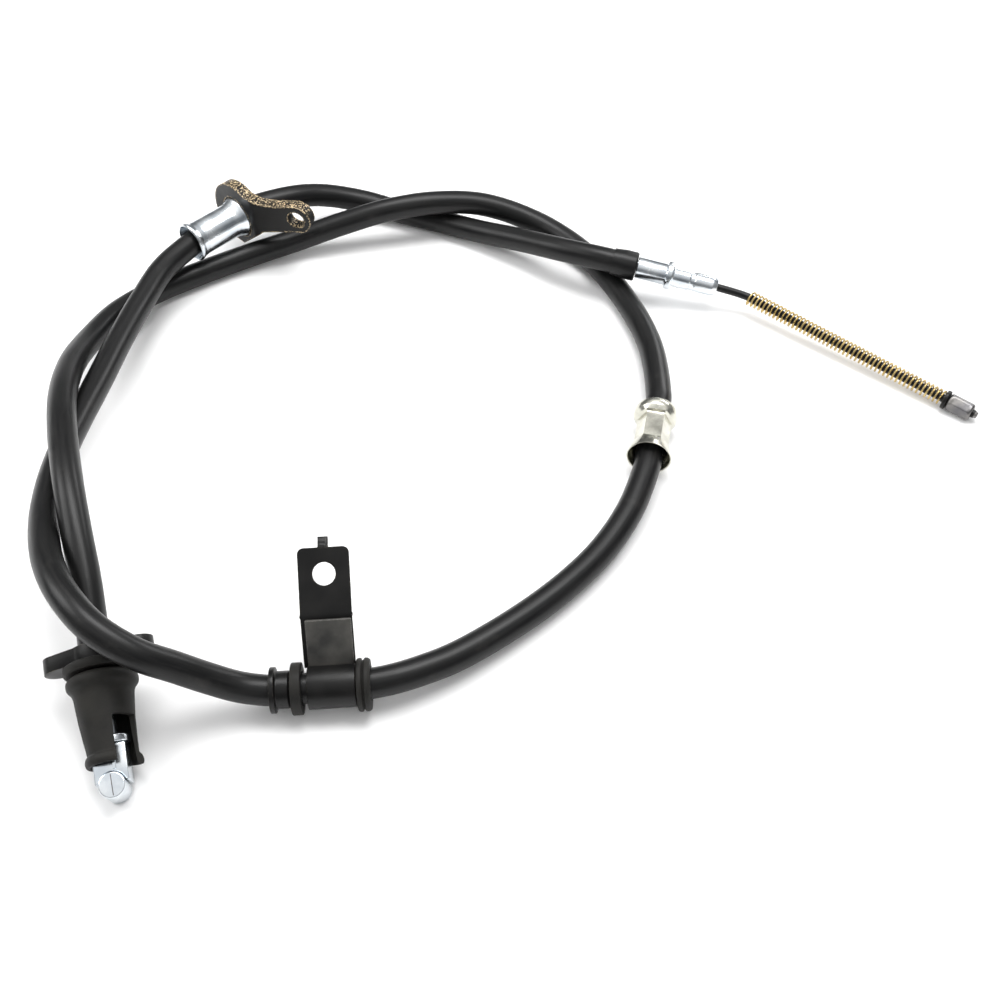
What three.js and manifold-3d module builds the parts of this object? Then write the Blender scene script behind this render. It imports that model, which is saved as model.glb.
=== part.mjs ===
// Parking brake cable, laid on a floor in two turns as it is unpacked. Millimetres, +Z up, floor at z = 0.
// One jacketed casing runs whole from the flange and boot at the lever end, through a middle ferrule, a strap
// bracket and a sleeve with a thick plate, to a stepped ferrule, where the inner core comes out into a spring.
import * as THREE from "three";
import { mergeVertices } from "three/addons/utils/BufferGeometryUtils.js";
import Module from "manifold-3d";

const wasm = await Module();
wasm.setup();

// Driving dimensions
const CLEAR = 0.3; // between two pieces that touch
const CASING_R = 5.5;
const CASING_BORE_R = 2.6;
const LONGEST_STEP = 24; // between two sections of the swept tube
const CORE_R = 1.8;
const GRIP_BORE_R = CASING_R + 0.38; // hole of everything crimped round the casing
const TRAVEL = 20; // stroke of the core at either end
const ROUND = 28; // sides of the turned pieces

// Middle ferrule and sleeve, both zinc plated tube with bulged mouths
const MOUTH_R = 9.2;
const WAIST_R = 6.6;
const FERRULE_LENGTH = 33;
const SLEEVE_LENGTH = 27;
const SLEEVE_BODY_R = 7.4;

// Thick plate on the sleeve
const PLATE_T = 5.5;
const HUB_R = 16.6;
const HUB_BORE_R = 10;
const HUB_FOOT = 14.3; // from the sleeve's axis down to the flat foot
const HUB_FLAT = 12.2; // and to the slanting flat that clears the casing below
const EAR_HALF = 9;
const EAR_REACH = 25;
const EAR_BEND = THREE.MathUtils.degToRad(28);
const EAR_HOLE_R = 4.3;

// Strap bracket with its rubber parts
const EYE_R = 7.6;
const EYE_LENGTH = 16.8;
const STRAP_W = 18;
const STRAP_T = 1.8;
const LEAF_W = 16;
const LOWER_LEAF = 19;
const LOWER_SLOPE = THREE.MathUtils.degToRad(55);
const UPPER_LEAF = 23.5;
const UPPER_SLOPE = THREE.MathUtils.degToRad(36.5);
const BOLT_HOLE_R = 4.4;
const BOLT_HOLE_UP = 14.4; // from the bend to the hole's middle
const WASHER_R = 9.4;

// Lever end
const FLANGE_T = 5.5;
const FLANGE_HUB_R = 9.5;
const FLANGE_EAR_R = 5.2;
const FLANGE_EAR_AT = 14.2;
const FLANGE_ROLL = THREE.MathUtils.degToRad(10);
const GUIDE_R = 4.4;
const ROD_R = 3;
const COLLAR_R = 6.7;
const BOOT_TOP_R = 9.6;
const BOOT_FOOT_R = 8.3;
const BOOT_BEAD_R = 11.8;
const BOOT_RIM_R = 9.5;
const BOOT_WALL = 1.15;
const WINDOW_FROM = 12; // degrees round the axis from its right side, the two edges of the boot's window
const WINDOW_TO = 69;
const PIN_R = 4.1;
const PIN_LENGTH = 12.4;
const PIN_AT = 42; // along the axis from the flange's front face

// Brake end
const SPRING_R = 3.5;
const SPRING_WIRE_R = 0.42;
const SPRING_TURNS = 49;
const SPRING_LENGTH = 98;
const CORE_PART = 20; // depth in the stepped ferrule where the hidden core and the bend meet
const CORE_IN_SPRING = 12; // length of the bent core that reaches into the spring
const BARREL_R = 3.85;
const BARREL_LENGTH = 10.6;

// Where the fittings stand: a point on the axis, and the way that the axis runs
const BOOT_AT = new THREE.Vector3(-157, -115, 20.5);
const BOOT_WAY = new THREE.Vector3(0.233, -0.92, -0.3125).normalize();
const FERRULE_AT = new THREE.Vector3(48.7, 21.4, 9.4);
const FERRULE_WAY = new THREE.Vector3(-6.6, -32.3, 0).normalize();
const BRACKET_AT = new THREE.Vector3(-98, -119, 9.7);
const BRACKET_WAY = new THREE.Vector3(33.7, 2.5, 0).normalize();
const SLEEVE_AT = new THREE.Vector3(-161.5, 114.5, 20.5);
const SLEEVE_WAY = new THREE.Vector3(0.695, 0.719, 0).normalize();
const TIP_AT = new THREE.Vector3(43.6, 101.5, 17.3);
const TIP_WAY = new THREE.Vector3(37.9, -8.3, -5.4).normalize();
const SPRING_AT = new THREE.Vector3(95.5, 89.3, 9.5);
const SPRING_WAY = new THREE.Vector3(77.6, -60.8, -4.9).normalize();

const finishes = {
  jacket: [0x24262a, 0.42, 0.0],
  rubber: [0x34332f, 0.8, 0.0],
  blackSteel: [0x1c1c1e, 0.38, 0.6],
  zinc: [0xdfe3e6, 0.25, 0.95],
  gold: [0xb59a52, 0.35, 0.9],
  steel: [0x8a8c8e, 0.35, 0.95],
  core: [0x2b2c2e, 0.5, 0.3],
};

// Closed solid of a three.js geometry: shared corners merged, faces turned outwards.
function solid(geometry) {
  const g = geometry.clone();
  g.deleteAttribute("normal");
  g.deleteAttribute("uv");
  const m = mergeVertices(g, 1e-4);
  const index = m.index.array;
  const kept = [];
  for (let i = 0; i < index.length; i += 3) {
    const [a, b, c] = [index[i], index[i + 1], index[i + 2]];
    if (a !== b && b !== c && a !== c) kept.push(a, b, c);
  }
  const build = (triangles) =>
    new wasm.Manifold(
      new wasm.Mesh({
        numProp: 3,
        vertProperties: new Float32Array(m.attributes.position.array),
        triVerts: new Uint32Array(triangles),
      }),
    );
  const made = build(kept);
  if (made.volume() > 0) return made;
  const turned = [];
  for (let i = 0; i < kept.length; i += 3) turned.push(kept[i], kept[i + 2], kept[i + 1]);
  return build(turned);
}

// Geometry of a closed solid.
function geometryOf(made) {
  const mesh = made.getMesh();
  return new THREE.BufferGeometry()
    .setAttribute("position", new THREE.BufferAttribute(mesh.vertProperties, 3))
    .setIndex(new THREE.BufferAttribute(mesh.triVerts, 1));
}

function moved(geometry, x, y, z) {
  return geometry.clone().translate(x, y, z);
}

// Turned body round +Z from [radius, height] pairs; a ring's profile closes on itself.
function turned(profile, sides = ROUND) {
  const points = profile.map(([r, h]) => new THREE.Vector2(r, h));
  return new THREE.LatheGeometry(points, sides).rotateX(Math.PI / 2);
}

// Turned tube: the outside as [radius, height] pairs going up, and one bore radius.
function pierced(outside, bore, sides = ROUND) {
  const low = outside[0][1];
  const high = outside[outside.length - 1][1];
  return turned([[bore, low], ...outside, [bore, high], [bore, low]], sides);
}

// Flat shape with optional round holes, extruded along +Z from z = 0.
function slab(outline, depth, holes = [], curveSegments = 12) {
  const shape = new THREE.Shape(outline.map(([x, y]) => new THREE.Vector2(x, y)));
  for (const [x, y, r] of holes) {
    shape.holes.push(new THREE.Path().absarc(x, y, r, 0, Math.PI * 2, true));
  }
  return new THREE.ExtrudeGeometry(shape, { depth, bevelEnabled: false, curveSegments });
}

// Corner points of an arc, in degrees, both ends included.
function arc(x, y, r, from, to, count) {
  const points = [];
  for (let i = 0; i <= count; i++) {
    const a = THREE.MathUtils.degToRad(from + ((to - from) * i) / count);
    points.push([x + r * Math.cos(a), y + r * Math.sin(a)]);
  }
  return points;
}

// Group whose +Z runs along an axis and whose +Y points up.
function station(at, way) {
  const z = way.clone().normalize();
  const x = new THREE.Vector3(0, 0, 1).cross(z).normalize();
  const y = z.clone().cross(x);
  const group = new THREE.Group();
  group.quaternion.setFromRotationMatrix(new THREE.Matrix4().makeBasis(x, y, z));
  group.position.copy(at);
  return group;
}

const cable = new THREE.Group();
cable.name = "parking_brake_cable";

function add(group, name, geometry, finish) {
  const [color, roughness, metalness] = finishes[finish];
  const material = new THREE.MeshStandardMaterial({ color, roughness, metalness });
  const mesh = new THREE.Mesh(geometry, material);
  mesh.name = name;
  group.add(mesh);
  return mesh;
}

const on = (at, way, distance) => at.clone().addScaledVector(way, distance);
const points = (list) => list.map(([x, y, z]) => new THREE.Vector3(x, y, z));

// Casing route, lever end to brake end: points chosen by hand between the straight runs through the fittings
const CASING_START = -FLANGE_T - CLEAR;
const BRACKET_RUN = 29;
const SLEEVE_BELL = 9;
const SLEEVE_RUN = 36;
const TIP_START = 0.8; // the casing's end, just inside the cuff
const lowerLoop = points([
  [-164, -87, 32],
  [-169, -71, 38.5],
  [-175, -52, 43],
  [-183.5, -25, 42],
  [-190.5, 0, 36.5],
  [-195, 27, 27.5],
  [-195, 52, 18],
  [-189, 77, 11.5],
  [-177, 96, 7.2],
  [-159, 110.5, 6],
  [-138, 123, 6.2],
  [-116, 132, 8.5],
  [-95, 138, 13],
  [-73, 143, 17.4],
  [-50, 148, 18.2],
  [-26, 151, 15],
  [0, 144.5, 9],
  [23, 124, 6],
  [39.5, 92, 6],
  [48.6, 60, 6.8],
]);
const frontRun = points([
  [33.5, -35, 7.8],
  [21.5, -54.5, 6.4],
  [7, -71, 6.1],
  [-11, -87, 6.3],
  [-33, -103.2, 7.5],
  [-45, -109.8, 8.7],
  [-56, -114.3, 9.5],
]);
const leftRise = points([
  [-108, -119.4, 12.5],
  [-118, -119.8, 19],
  [-128, -120.8, 28],
  [-139, -121.4, 37],
  [-152, -116, 43.5],
  [-164, -104, 45],
  [-174, -88, 42],
  [-182, -67, 36.5],
  [-186.5, -44, 31.5],
  [-187.5, -22, 28],
  [-186.5, -4, 25.7],
  [-184, 21, 23],
  [-181, 48, 21.3],
  [-176.5, 74, 20.5],
  [-170.5, 97, 20.5],
]);
const backRun = points([
  [-118, 152, 18.8],
  [-105, 158.5, 15],
  [-87, 161.5, 9.5],
  [-67, 157, 6.2],
  [-47, 149.5, 6],
  [-28, 140, 7.4],
  [-8, 127.5, 12],
  [11, 114, 17],
]);
function straight(at, way, from, to, lead) {
  const stops = [from - lead, from, to, to + lead];
  return stops.map((s) => on(at, way, s));
}
const backwards = BOOT_WAY.clone().negate();
const route = new THREE.CatmullRomCurve3(
  [
    on(BOOT_AT, backwards, -CASING_START),
    on(BOOT_AT, backwards, -CASING_START + 9),
    ...lowerLoop,
    ...straight(FERRULE_AT, FERRULE_WAY, 0, FERRULE_LENGTH, 3),
    ...frontRun,
    ...straight(BRACKET_AT, BRACKET_WAY, 3, BRACKET_RUN, 3).reverse(),
    ...leftRise,
    ...straight(SLEEVE_AT, SLEEVE_WAY, SLEEVE_BELL, SLEEVE_RUN, 3),
    ...backRun,
    on(TIP_AT, TIP_WAY, -13),
    on(TIP_AT, TIP_WAY, -10),
    on(TIP_AT, TIP_WAY, TIP_START),
  ],
  false,
  "centripetal",
);

// Route sampled at its own points, with long stretches halved: a Curve whose parameter steps evenly through them.
class Stations extends THREE.Curve {
  constructor(curve) {
    super();
    this.curve = curve;
    const last = curve.points.length - 1;
    this.at = [0];
    for (let i = 1; i <= last; i++) {
      const parts = Math.ceil(curve.points[i].distanceTo(curve.points[i - 1]) / LONGEST_STEP);
      for (let k = 1; k <= parts; k++) this.at.push((i - 1 + k / parts) / last);
    }
  }
  get steps() {
    return this.at.length - 1;
  }
  getUtoTmapping(u) {
    return u;
  }
  getPoint(u, target) {
    const x = Math.min(Math.max(u, 0), 1) * this.steps;
    const i = Math.min(Math.floor(x), this.steps - 1);
    return this.curve.getPoint(THREE.MathUtils.lerp(this.at[i], this.at[i + 1], x - i), target);
  }
}
const laid = new Stations(route);

// Tube of a round section swept along a curve, with an optional bore.
function swept(curve, steps, radius, sides, bore = 0, boreSides = 8) {
  const outline = (r, turn, count) =>
    arc(0, 0, r, 0, turn, count)
      .slice(0, -1)
      .map(([x, y]) => new THREE.Vector2(x, y));
  const section = new THREE.Shape(outline(radius, 360, sides));
  if (bore > 0) {
    section.holes.push(new THREE.Path(outline(bore, -360, boreSides)));
  }
  return new THREE.ExtrudeGeometry(section, { steps, extrudePath: curve, bevelEnabled: false });
}

function casing() {
  add(cable, "casing", swept(laid, laid.steps, CASING_R, 12, CASING_BORE_R), "jacket");
}

// Inner core: the length hidden in the casing, and the bend that comes out of the ferrule into the spring.
function core() {
  const hidden = new THREE.CatmullRomCurve3(
    [...route.points, on(TIP_AT, TIP_WAY, CORE_PART / 2), on(TIP_AT, TIP_WAY, CORE_PART)],
    false,
    "centripetal",
  );
  const inside = new Stations(hidden);
  add(cable, "core", swept(inside, inside.steps, CORE_R, 6), "core");
  const bend = new THREE.CatmullRomCurve3(
    [
      on(TIP_AT, TIP_WAY, CORE_PART + CLEAR),
      on(TIP_AT, TIP_WAY, 30),
      on(TIP_AT, TIP_WAY, 39.5),
      on(SPRING_AT, SPRING_WAY, -0.5),
      on(SPRING_AT, SPRING_WAY, 5),
      on(SPRING_AT, SPRING_WAY, CORE_IN_SPRING),
    ],
    false,
    "centripetal",
  );
  add(cable, "core_bend", swept(bend, 14, CORE_R, 10), "core");
}

// Middle ferrule: tube crimped round the casing, both mouths bulged and open.
function ferrule() {
  const group = station(FERRULE_AT, FERRULE_WAY);
  const outside = [
    [7.4, 0],
    [8.9, 1.6],
    [MOUTH_R, 3.6],
    [8.6, 5.8],
    [WAIST_R, 9],
    [WAIST_R, FERRULE_LENGTH - 9],
    [8.2, FERRULE_LENGTH - 4],
    [MOUTH_R, FERRULE_LENGTH],
  ];
  const bell = turned([
    [0, FERRULE_LENGTH - 6],
    [GRIP_BORE_R, FERRULE_LENGTH - 6],
    [8.1, FERRULE_LENGTH + 0.01],
    [8.1, FERRULE_LENGTH + 1],
    [0, FERRULE_LENGTH + 1],
  ]);
  const body = solid(pierced(outside, GRIP_BORE_R)).subtract(solid(bell));
  add(group, "mid_ferrule", geometryOf(body), "zinc");
  cable.add(group);
}

// Sleeve: the same tube with one bulged mouth, a body, a neck, and a spigot with a rim behind the plate.
function sleeve() {
  const group = station(SLEEVE_AT, SLEEVE_WAY);
  const plateBack = SLEEVE_LENGTH + CLEAR + PLATE_T;
  const outside = [
    [MOUTH_R, 0],
    [8.4, 3.2],
    [SLEEVE_BODY_R, 6],
    [SLEEVE_BODY_R, SLEEVE_LENGTH - 1.5],
    [WAIST_R, SLEEVE_LENGTH],
    [WAIST_R, plateBack - 2.6],
    [HUB_BORE_R - CLEAR - 0.1, plateBack - 2.6],
    [HUB_BORE_R - CLEAR - 0.1, plateBack + CLEAR],
    [HUB_BORE_R + 1.8, plateBack + CLEAR],
    [HUB_BORE_R + 1.8, plateBack + CLEAR + 1.4],
  ];
  const bell = turned([
    [0, -1],
    [8.2, -1],
    [8.2, -0.01],
    [GRIP_BORE_R, SLEEVE_BELL],
    [0, SLEEVE_BELL],
  ]);
  add(group, "sleeve", geometryOf(solid(pierced(outside, GRIP_BORE_R)).subtract(solid(bell))), "zinc");
  platePiece(group);
  cable.add(group);
}

// Thick blanked plate: a ring square to the sleeve, and an ear bent towards the front with a bolt hole.
function platePiece(group) {
  const flatAt = THREE.MathUtils.degToRad(-50);
  const footEnd = (HUB_FLAT + HUB_FOOT * Math.sin(flatAt)) / Math.cos(flatAt);
  const ring = slab([...arc(0, 0, HUB_R, -7.7, 239.5, 26), [footEnd, -HUB_FOOT]], PLATE_T);
  const bore = new THREE.CylinderGeometry(HUB_BORE_R, HUB_BORE_R, PLATE_T + 2, ROUND);
  bore.rotateX(Math.PI / 2).translate(0, 0, PLATE_T / 2);
  const ear = slab(
    [
      [-7, -1],
      [EAR_REACH - EAR_HALF + 3, -1 + 2],
      ...arc(EAR_REACH - EAR_HALF, 9, EAR_HALF - 1, -60, 90, 9),
      [-2, 17],
      [-7, 15],
    ],
    PLATE_T,
    [[EAR_REACH - EAR_HALF, 9, EAR_HOLE_R]],
  );
  ear.rotateY(EAR_BEND).translate(HUB_R - 3.5, 0, 0);
  const made = solid(ring).add(solid(ear)).subtract(solid(bore));
  // The outline is drawn as seen from the mouth, so it is turned to face it.
  const piece = geometryOf(made).rotateY(Math.PI).translate(0, 0, PLATE_T);
  const mesh = add(group, "sleeve_plate", piece, "blackSteel");
  mesh.position.z = SLEEVE_LENGTH + CLEAR;
}

// Strap bracket: rolled eye, leaf, bent upper leaf with bolt hole and tab, in the plane across the casing.
function bracket() {
  const group = station(BRACKET_AT, BRACKET_WAY);
  const eyeFrom = 13.1;
  const strapFrom = eyeFrom + EYE_LENGTH - STRAP_W;
  const leafAt = [EYE_R * 0.8, EYE_R * 0.45];
  const bend = [leafAt[0] + LOWER_LEAF * Math.cos(LOWER_SLOPE), leafAt[1] + LOWER_LEAF * Math.sin(LOWER_SLOPE)];
  const plate = (length, width, slope, at, thickness) =>
    new THREE.BoxGeometry(length, thickness, width)
      .translate(length / 2, thickness / 2, 0)
      .rotateZ(slope)
      .translate(at[0], at[1], 0);
  const eye = solid(moved(pierced([[EYE_R, 0], [EYE_R, EYE_LENGTH]], EYE_R - STRAP_T), 0, 0, eyeFrom));
  const middle = strapFrom + STRAP_W / 2;
  const back = [-Math.sin(LOWER_SLOPE) * STRAP_T, Math.cos(LOWER_SLOPE) * STRAP_T];
  const lower = plate(LOWER_LEAF + 0.4, STRAP_W, LOWER_SLOPE, [leafAt[0] - back[0], leafAt[1] - back[1]], STRAP_T);
  const under = [Math.sin(UPPER_SLOPE) * STRAP_T, -Math.cos(UPPER_SLOPE) * STRAP_T];
  const upperAt = [bend[0] + under[0], bend[1] + under[1]];
  const upper = plate(UPPER_LEAF, STRAP_W, UPPER_SLOPE, upperAt, STRAP_T);
  const hole = new THREE.CylinderGeometry(BOLT_HOLE_R, BOLT_HOLE_R, 12, ROUND)
    .translate(BOLT_HOLE_UP, 0, 0)
    .rotateZ(UPPER_SLOPE)
    .translate(upperAt[0], upperAt[1], middle);
  const tabAt = [
    upperAt[0] + (UPPER_LEAF - 0.6) * Math.cos(UPPER_SLOPE),
    upperAt[1] + (UPPER_LEAF - 0.6) * Math.sin(UPPER_SLOPE),
  ];
  const tab = plate(5, 3.6, UPPER_SLOPE - 0.5, tabAt, STRAP_T);
  const corner = new THREE.CylinderGeometry(STRAP_T, STRAP_T, STRAP_W, 12)
    .rotateX(Math.PI / 2)
    .translate(bend[0], bend[1], middle);
  let made = eye;
  for (const piece of [lower, upper, tab]) made = made.add(solid(moved(piece, 0, 0, middle)));
  const eyeHole = new THREE.CylinderGeometry(EYE_R - STRAP_T, EYE_R - STRAP_T, 60, ROUND).rotateX(Math.PI / 2);
  made = made.add(solid(corner)).subtract(solid(hole)).subtract(solid(eyeHole));
  add(group, "bracket", geometryOf(made), "blackSteel");

  // Second leaf, spot welded on the front of the lower leaf from the eye up to the bend
  const front = [
    leafAt[0] + Math.cos(LOWER_SLOPE) * 1.2 - Math.sin(LOWER_SLOPE) * CLEAR,
    leafAt[1] + Math.sin(LOWER_SLOPE) * 1.2 + Math.cos(LOWER_SLOPE) * CLEAR,
  ];
  const leaf = plate(LOWER_LEAF - 3.4, LEAF_W, LOWER_SLOPE, front, STRAP_T - 0.4);
  add(group, "bracket_leaf", moved(leaf, 0, 0, middle + 0.6), "blackSteel");

  rubberAndRings(group, eyeFrom);
  cable.add(group);
}

// Rubber washers at the two ends of the eye, and the flanged ring crimped beside them.
function rubberAndRings(group, eyeFrom) {
  const stop = [
    [8.1, 0],
    [8.1, 1.9],
    [WAIST_R, 2.1],
    [WAIST_R, 6.6],
    [WAIST_R - 0.4, 7.1],
  ];
  add(group, "stop_ring", pierced(stop, GRIP_BORE_R), "blackSteel");
  const left = [
    [WASHER_R - 0.2, 7.4],
    [WASHER_R - 0.2, 11.1],
  ];
  add(group, "washer_left", pierced(left, GRIP_BORE_R), "rubber");
  const rightFrom = eyeFrom + EYE_LENGTH + CLEAR;
  const right = [
    [WASHER_R - 0.5, rightFrom],
    [WASHER_R, rightFrom + 0.7],
    [WASHER_R, rightFrom + 1.6],
    [WASHER_R - 0.9, rightFrom + 2.2],
    [WASHER_R, rightFrom + 2.9],
    [WASHER_R, rightFrom + 3.9],
    [WASHER_R - 0.6, rightFrom + 4.8],
  ];
  add(group, "washer_right", pierced(right, GRIP_BORE_R + 0.35), "rubber");
}

// Lever end: two-eared flange plate, guide tube, seat ring and boot, and the rod with its cross pin.
function leverEnd() {
  const group = station(BOOT_AT, BOOT_WAY);
  const side = (s) => arc(s * FLANGE_EAR_AT, 0, FLANGE_EAR_R, s > 0 ? -75 : 105, s > 0 ? 75 : 255, 10);
  const outline = [
    ...side(1),
    ...arc(0, 0, FLANGE_HUB_R, 52, 128, 8),
    ...side(-1),
    ...arc(0, 0, FLANGE_HUB_R, 232, 308, 8),
  ];
  const flange = slab(outline, FLANGE_T, [[0, 0, GUIDE_R + CLEAR]], 14).rotateZ(FLANGE_ROLL);
  add(group, "flange_plate", moved(flange, 0, 0, -FLANGE_T), "blackSteel");
  const guide = [
    [GUIDE_R, -FLANGE_T + 0.1],
    [GUIDE_R, 15],
  ];
  add(group, "guide_tube", pierced(guide, ROD_R + CLEAR + 0.05, 20), "steel");
  const seat = [
    [12.2, CLEAR],
    [12.6, 1.2],
    [12.6, 2.6],
    [12, 3.6],
  ];
  add(group, "boot_seat", pierced(seat, GUIDE_R + CLEAR + 0.05), "rubber");
  boot(group);
  rod(group);
  cable.add(group);
}

// Boot: beaded top, tapering wall, beaded foot, and a long window down one side that opens at the foot.
function boot(group) {
  const neck = GUIDE_R + CLEAR + 0.05;
  const foot = 36.2;
  const outside = [
    [neck, 4],
    [BOOT_BEAD_R - 1.6, 4.2],
    [BOOT_BEAD_R, 5.8],
    [BOOT_BEAD_R, 8],
    [BOOT_BEAD_R - 1.4, 9.8],
    [BOOT_TOP_R, 10.6],
    [BOOT_FOOT_R, 31.8],
    [BOOT_RIM_R - 0.4, 32.8],
    [BOOT_RIM_R, 34.4],
    [BOOT_RIM_R - 0.5, foot],
    [BOOT_FOOT_R - BOOT_WALL, foot],
    [BOOT_FOOT_R - BOOT_WALL, 31.8],
    [BOOT_TOP_R - 1.7, 12.6],
    [neck, 10.4],
    [neck, 4],
  ];
  const shell = solid(turned(outside));
  const cut = solid(moved(slab([[0, 0], ...arc(0, 0, 15, WINDOW_FROM, WINDOW_TO, 6)], foot), 0, 0, 17.5));
  add(group, "boot", geometryOf(shell.subtract(cut)), "rubber");
}

// Rod, collar, grooved fitting body and the pin across its end; these slide out together.
function rod(group) {
  const back = -FLANGE_T + 1.6;
  const shank = [
    [0, back],
    [ROD_R, back],
    [ROD_R, 26],
    [0, 26],
  ];
  add(group, "pull_rod", turned(shank, 16), "steel");
  const collar = [
    [0, 26 + CLEAR],
    [COLLAR_R, 26 + CLEAR],
    [COLLAR_R, 29],
    [0, 29],
  ];
  add(group, "rod_collar", turned(collar), "zinc");
  const bodyFrom = 29 + CLEAR;
  const bodyTo = PIN_AT - 1;
  const body = new THREE.BoxGeometry(9.4, 9.4, bodyTo - bodyFrom).translate(0, 0, (bodyFrom + bodyTo) / 2);
  const groove = new THREE.BoxGeometry(2.2, 1.6, bodyTo - bodyFrom - 3.4);
  groove.translate(0, 4.6, (bodyFrom + bodyTo) / 2 - 0.6);
  const pinHole = new THREE.CylinderGeometry(PIN_R + CLEAR, PIN_R + CLEAR, 20, 24).translate(0, 0, PIN_AT);
  const fitting = solid(body).subtract(solid(groove)).subtract(solid(pinHole));
  add(group, "fitting_body", geometryOf(fitting), "zinc");
  const pin = new THREE.CylinderGeometry(PIN_R, PIN_R, PIN_LENGTH, 24).translate(0, 0, PIN_AT);
  const slot = new THREE.BoxGeometry(0.7, 1.2, 2 * PIN_R + 1).translate(0, PIN_LENGTH / 2, PIN_AT);
  add(group, "cross_pin", geometryOf(solid(pin).subtract(solid(slot))), "zinc");
}

// Stepped ferrule at the casing's brake end, with the cuff over the jacket.
function tip() {
  const group = station(TIP_AT, TIP_WAY);
  const cuff = [
    [CASING_R + 0.9, -10],
    [CASING_R + 1.1, -8.5],
    [CASING_R + 1.1, 0.6],
    [CASING_R + 0.9, 1],
  ];
  add(group, "jacket_cuff", pierced(cuff, GRIP_BORE_R), "rubber");
  const outside = [
    [4.9, 1 + CLEAR],
    [4.9, 14.8],
    [6.1, 15],
    [6.4, 15.6],
    [6.4, 17.4],
    [6.1, 18],
    [4.7, 18.2],
    [4.7, 26],
    [4.2, 26.3],
    [4.2, 28.4],
    [4.5, 28.7],
    [4.5, 37.2],
    [3.6, 39],
  ];
  add(group, "end_ferrule", pierced(outside, CORE_R + CLEAR + 0.05), "zinc");
  cable.add(group);
}

// Spring: one wire wound SPRING_TURNS times round the core.
function springWire() {
  class Coil extends THREE.Curve {
    getPoint(t, target = new THREE.Vector3()) {
      const a = t * SPRING_TURNS * Math.PI * 2;
      const r = SPRING_R - SPRING_WIRE_R;
      const run = SPRING_LENGTH - 2 * SPRING_WIRE_R;
      return target.set(r * Math.cos(a), r * Math.sin(a), SPRING_WIRE_R + run * t);
    }
  }
  const coil = new Coil();
  coil.arcLengthDivisions = SPRING_TURNS * 32;
  return swept(coil, SPRING_TURNS * 8, SPRING_WIRE_R, 4);
}

// Brake end: spring, its washer, and the barrel crimped on the core's end.
function brakeEnd() {
  const group = station(SPRING_AT, SPRING_WAY);
  add(group, "spring", springWire(), "gold");
  const tipFrom = CORE_IN_SPRING + CLEAR;
  const washerFrom = SPRING_LENGTH + CLEAR;
  const barrelFrom = washerFrom + 1.8 + CLEAR;
  const barrelTo = barrelFrom + BARREL_LENGTH;
  const stub = new THREE.CylinderGeometry(CORE_R, CORE_R, barrelTo + 0.2 - tipFrom, 10);
  stub.rotateX(Math.PI / 2).translate(0, 0, (tipFrom + barrelTo + 0.2) / 2);
  add(group, "core_tip", stub, "core");
  const washer = [
    [4.2, washerFrom],
    [4.2, washerFrom + 1.4],
    [3.4, washerFrom + 1.8],
  ];
  add(group, "spring_washer", pierced(washer, CORE_R + CLEAR, 20), "blackSteel");
  const barrel = [
    [BARREL_R - 0.5, barrelFrom],
    [BARREL_R, barrelFrom + 0.8],
    [BARREL_R, barrelTo - 0.8],
    [BARREL_R - 0.6, barrelTo],
  ];
  add(group, "crimp_barrel", pierced(barrel, CORE_R + CLEAR, 12), "steel");
  const nub = [
    [0, barrelTo + CLEAR + 0.2],
    [1.7, barrelTo + CLEAR + 0.2],
    [1.2, barrelTo + 2.4],
    [0, barrelTo + 2.6],
  ];
  add(group, "wire_nub", turned(nub, 10), "core");
  cable.add(group);
}

// Footprint centred on the origin, floor at z = 0
function settle() {
  const box = new THREE.Box3().setFromObject(cable, true);
  const centre = box.getCenter(new THREE.Vector3());
  cable.position.set(-centre.x, -centre.y, -box.min.z);
}

casing();
core();
ferrule();
bracket();
sleeve();
leverEnd();
tip();
brakeEnd();
settle();

export default cable;
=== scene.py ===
import bpy
from math import ceil, cos, pi, radians, sin, sqrt, tan
from mathutils import Matrix, Vector
from mathutils.geometry import delaunay_2d_cdt


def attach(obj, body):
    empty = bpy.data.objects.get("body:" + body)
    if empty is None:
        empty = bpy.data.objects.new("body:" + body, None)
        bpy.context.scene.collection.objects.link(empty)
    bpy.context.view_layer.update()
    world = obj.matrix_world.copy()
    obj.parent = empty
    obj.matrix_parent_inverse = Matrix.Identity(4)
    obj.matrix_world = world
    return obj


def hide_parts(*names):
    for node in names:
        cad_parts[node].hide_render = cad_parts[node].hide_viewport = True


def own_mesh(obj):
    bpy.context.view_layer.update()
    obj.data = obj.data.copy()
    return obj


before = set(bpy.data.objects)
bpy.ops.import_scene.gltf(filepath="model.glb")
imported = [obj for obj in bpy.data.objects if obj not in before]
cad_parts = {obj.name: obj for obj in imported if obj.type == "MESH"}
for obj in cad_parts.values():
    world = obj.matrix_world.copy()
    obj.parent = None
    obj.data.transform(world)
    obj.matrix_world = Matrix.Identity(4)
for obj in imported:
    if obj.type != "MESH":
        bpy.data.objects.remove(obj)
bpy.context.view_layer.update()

# Camera, fitted to the photo
camera = bpy.data.objects.new("camera", bpy.data.cameras.new("camera"))
bpy.context.collection.objects.link(camera)
camera.location = (-0.010164, -0.34875, 0.382316)
camera.rotation_euler = (radians(40), 0, 0)
camera.data.sensor_width = 36
camera.data.lens = 36 * 1234 / 1000
camera.data.clip_start = 0.01
bpy.context.scene.camera = camera

# Shared sizes, as in the part's source
SHIFT = Vector((0.0078359, -0.0037504, -0.000184))
CASING_R = 0.0055
CORE_R = 0.0018
GRIP_R = 0.00588
UP = Vector((0, 0, 1))


def at(x, y, z):
    return Vector((x, y, z)) + SHIFT


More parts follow.
